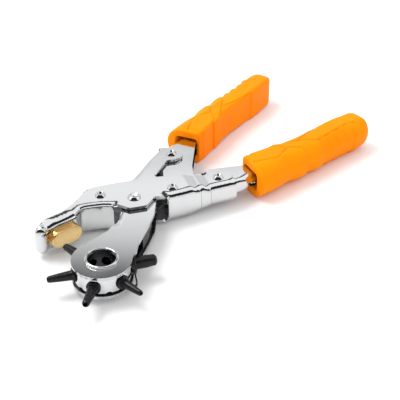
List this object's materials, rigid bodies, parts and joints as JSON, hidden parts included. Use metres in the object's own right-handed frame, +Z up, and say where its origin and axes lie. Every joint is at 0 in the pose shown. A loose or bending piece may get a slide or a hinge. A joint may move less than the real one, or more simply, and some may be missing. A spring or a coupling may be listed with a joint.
{
  "type": "rotary hole punch",
  "caption": "Compound-lever rotary hole punch for leather: a turret of hollow punch tubes closes on a brass anvil pad when the handles are squeezed.",
  "frame": {"origin": "bottom centre of the bounding box, the tool lying on its side with its hinge axes upright", "axes": "+X from the turret to the grip ends, +Y from the near handle (B) to the far handle (A), +Z up along the hinge axes"},
  "size_m": [0.2694, 0.1185, 0.0246],
  "materials": {
    "chrome": "polished",
    "satin_steel": "satin",
    "black_steel": "satin",
    "brass": "polished",
    "orange_rubber": "satin"
  },
  "bodies": {
    "anvil_side": {"anvil_lever": "chrome", "anvil_pad": "brass", "main_pivot_rivet": "chrome", "front_spacer_rivet": "chrome", "front_spacer": "satin_steel", "rear_spacer_rivet": "chrome", "rear_spacer": "satin_steel", "handle_b_rivet": "chrome", "return_spring": "satin_steel"},
    "turret_side": {"turret_lever": "chrome", "pivot_bush": "satin_steel", "spring_stop_pin": "satin_steel", "handle_a_rivet": "chrome", "detent_spring": "black_steel", "detent_anchor": "satin_steel"},
    "turret": {"turret_wheel": "chrome", "upper_eyelet": "chrome", "lower_eyelet": "chrome", "punch_tube_1": "black_steel", "punch_tube_2": "black_steel", "punch_tube_3": "black_steel", "punch_tube_4": "black_steel", "punch_tube_5": "black_steel", "punch_tube_6": "black_steel"},
    "handle_a": {"handle_a_frame": "chrome", "grip_a": "orange_rubber", "handle_link_pin": "chrome"},
    "handle_b": {"handle_b_frame": "chrome", "grip_b": "orange_rubber"}
  },
  "joints": [
    {"name": "jaw_pivot", "type": "hinge", "parent": "anvil_side", "child": "turret_side", "pos_m": [-0.04889, 0.0037, 0.0123], "axis": [0, 0, 1], "range_deg": [-6.9, 3], "stiffness_Nm_per_rad": 0.6, "deforming": ["return_spring"]},
    {"name": "turret_spin", "type": "hinge", "parent": "turret_side", "child": "turret", "pos_m": [-0.10489, -0.0258, 0.0123], "axis": [0, 0, 1], "continuous": true},
    {"name": "handle_a_pivot", "type": "hinge", "parent": "turret_side", "child": "handle_a", "pos_m": [0.00731, 0.02527, 0.0123], "axis": [0, 0, 1], "range_deg": [-6.1, 2.7]},
    {"name": "handle_b_pivot", "type": "hinge", "parent": "anvil_side", "child": "handle_b", "pos_m": [0.00731, -0.01787, 0.0123], "axis": [0, 0, 1], "range_deg": [-2.7, 6.1]}
  ],
  "couplings": [
    {"joint": "handle_a_pivot", "follows": "jaw_pivot", "ratio": 0.88},
    {"joint": "handle_b_pivot", "follows": "jaw_pivot", "ratio": -0.88}
  ]
}
